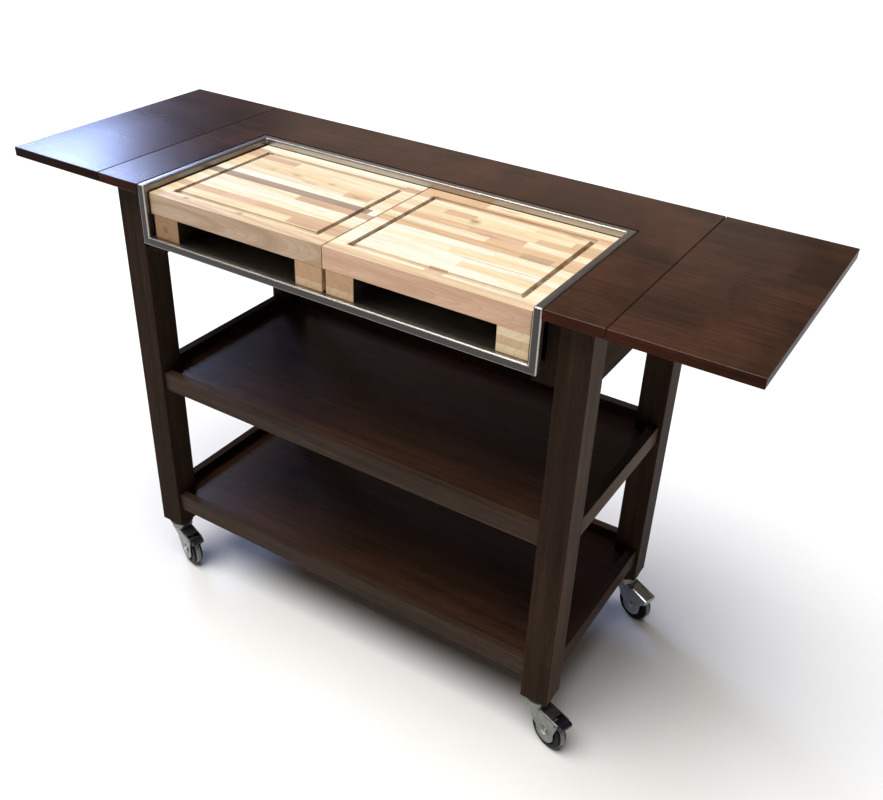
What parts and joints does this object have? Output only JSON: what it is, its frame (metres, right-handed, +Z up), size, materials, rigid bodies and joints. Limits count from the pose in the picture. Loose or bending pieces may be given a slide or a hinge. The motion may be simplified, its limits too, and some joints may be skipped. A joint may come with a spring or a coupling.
{
  "type": "gueridon trolley",
  "caption": "Dark wood service trolley with drop leaves, tray shelves, swivel casters and lift-out cutting boards in a steel-framed recess.",
  "frame": {"origin": "on the floor under the middle of the top", "axes": "+X along the top to the right, +Y to the rear, +Z up; the boards face the front at -Y"},
  "size_m": [1.452, 0.5, 0.905],
  "materials": {
    "stained_wood": "satin lacquer over dark stain",
    "maple": "oiled, glued staves",
    "stainless": "brushed",
    "zinc_plate": "bright zinc",
    "wheel_black": "moulded",
    "black_nylon": "moulded",
    "tyre_grey": "moulded"
  },
  "bodies": {
    "root": {"top_panel": "stained_wood", "front_left_leg": "stained_wood", "front_right_leg": "stained_wood", "rear_left_leg": "stained_wood", "rear_right_leg": "stained_wood", "left_side_apron": "stained_wood", "right_side_apron": "stained_wood", "rear_apron": "stained_wood", "left_insert_bearer": "stained_wood", "right_insert_bearer": "stained_wood", "rear_insert_bearer": "stained_wood", "insert_frame": "stainless", "insert_tray": "stainless", "middle_shelf_panel": "stained_wood", "middle_shelf_front_rail": "stained_wood", "middle_shelf_rear_rail": "stained_wood", "middle_shelf_left_rail": "stained_wood", "middle_shelf_right_rail": "stained_wood", "bottom_shelf_panel": "stained_wood", "bottom_shelf_front_rail": "stained_wood", "bottom_shelf_rear_rail": "stained_wood", "bottom_shelf_left_rail": "stained_wood", "bottom_shelf_right_rail": "stained_wood", "hinge_fixed_arms": "zinc_plate", "hinge_pins": "zinc_plate", "front_left_caster_stem": "zinc_plate", "front_right_caster_stem": "zinc_plate", "rear_left_caster_stem": "zinc_plate", "rear_right_caster_stem": "zinc_plate"},
    "left_leaf_body": {"left_leaf": "stained_wood", "left_hinge_leaf_arms": "zinc_plate"},
    "right_leaf_body": {"right_leaf": "stained_wood", "right_hinge_leaf_arms": "zinc_plate"},
    "left_board": {"left_board_slab": "maple", "left_board_runners": "maple"},
    "right_board": {"right_board_slab": "maple", "right_board_runners": "maple"},
    "front_left_swivel_body": {"front_left_caster_fork": "zinc_plate", "front_left_axle": "zinc_plate"},
    "front_left_wheel_body": {"front_left_wheel": "wheel_black", "front_left_tyre": "tyre_grey"},
    "front_left_pedal_body": {"front_left_brake_pedal": "black_nylon"},
    "front_right_swivel_body": {"front_right_caster_fork": "zinc_plate", "front_right_axle": "zinc_plate"},
    "front_right_wheel_body": {"front_right_wheel": "wheel_black", "front_right_tyre": "tyre_grey"},
    "front_right_pedal_body": {"front_right_brake_pedal": "black_nylon"},
    "rear_left_swivel_body": {"rear_left_caster_fork": "zinc_plate", "rear_left_axle": "zinc_plate"},
    "rear_left_wheel_body": {"rear_left_wheel": "wheel_black", "rear_left_tyre": "tyre_grey"},
    "rear_right_swivel_body": {"rear_right_caster_fork": "zinc_plate", "rear_right_axle": "zinc_plate"},
    "rear_right_wheel_body": {"rear_right_wheel": "wheel_black", "rear_right_tyre": "tyre_grey"}
  },
  "joints": [
    {"name": "left_leaf_fold", "type": "hinge", "parent": "root", "child": "left_leaf_body", "pos_m": [-0.5005, 0, 0.879], "axis": [0, -1, 0], "range_deg": [0, 90]},
    {"name": "right_leaf_fold", "type": "hinge", "parent": "root", "child": "right_leaf_body", "pos_m": [0.5005, 0, 0.879], "axis": [0, 1, 0], "range_deg": [0, 90]},
    {"name": "left_board_lift", "type": "slide", "parent": "root", "child": "left_board", "axis": [0, 0, 1], "range_m": [0, 0.12]},
    {"name": "right_board_lift", "type": "slide", "parent": "root", "child": "right_board", "axis": [0, 0, 1], "range_m": [0, 0.12]},
    {"name": "front_left_swivel", "type": "hinge", "parent": "root", "child": "front_left_swivel_body", "pos_m": [-0.451, -0.202, 0.095], "axis": [0, 0, 1], "continuous": true},
    {"name": "front_left_roll", "type": "hinge", "parent": "front_left_swivel_body", "child": "front_left_wheel_body", "pos_m": [-0.41811, -0.21397, 0.0375], "axis": [0.342, 0.9397, 0], "continuous": true},
    {"name": "front_left_brake", "type": "hinge", "parent": "front_left_swivel_body", "child": "front_left_pedal_body", "pos_m": [-0.39368, -0.22286, 0.077], "axis": [0.342, 0.9397, 0], "range_deg": [0, 12]},
    {"name": "front_right_swivel", "type": "hinge", "parent": "root", "child": "front_right_swivel_body", "pos_m": [0.451, -0.202, 0.095], "axis": [0, 0, 1], "continuous": true},
    {"name": "front_right_roll", "type": "hinge", "parent": "front_right_swivel_body", "child": "front_right_wheel_body", "pos_m": [0.48389, -0.21397, 0.0375], "axis": [0.342, 0.9397, 0], "continuous": true},
    {"name": "front_right_brake", "type": "hinge", "parent": "front_right_swivel_body", "child": "front_right_pedal_body", "pos_m": [0.50832, -0.22286, 0.077], "axis": [0.342, 0.9397, 0], "range_deg": [0, 12]},
    {"name": "rear_left_swivel", "type": "hinge", "parent": "root", "child": "rear_left_swivel_body", "pos_m": [-0.451, 0.202, 0.095], "axis": [0, 0, 1], "continuous": true},
    {"name": "rear_left_roll", "type": "hinge", "parent": "rear_left_swivel_body", "child": "rear_left_wheel_body", "pos_m": [-0.41811, 0.19003, 0.0375], "axis": [0.342, 0.9397, 0], "continuous": true},
    {"name": "rear_right_swivel", "type": "hinge", "parent": "root", "child": "rear_right_swivel_body", "pos_m": [0.451, 0.202, 0.095], "axis": [0, 0, 1], "continuous": true},
    {"name": "rear_right_roll", "type": "hinge", "parent": "rear_right_swivel_body", "child": "rear_right_wheel_body", "pos_m": [0.48389, 0.19003, 0.0375], "axis": [0.342, 0.9397, 0], "continuous": true}
  ]
}
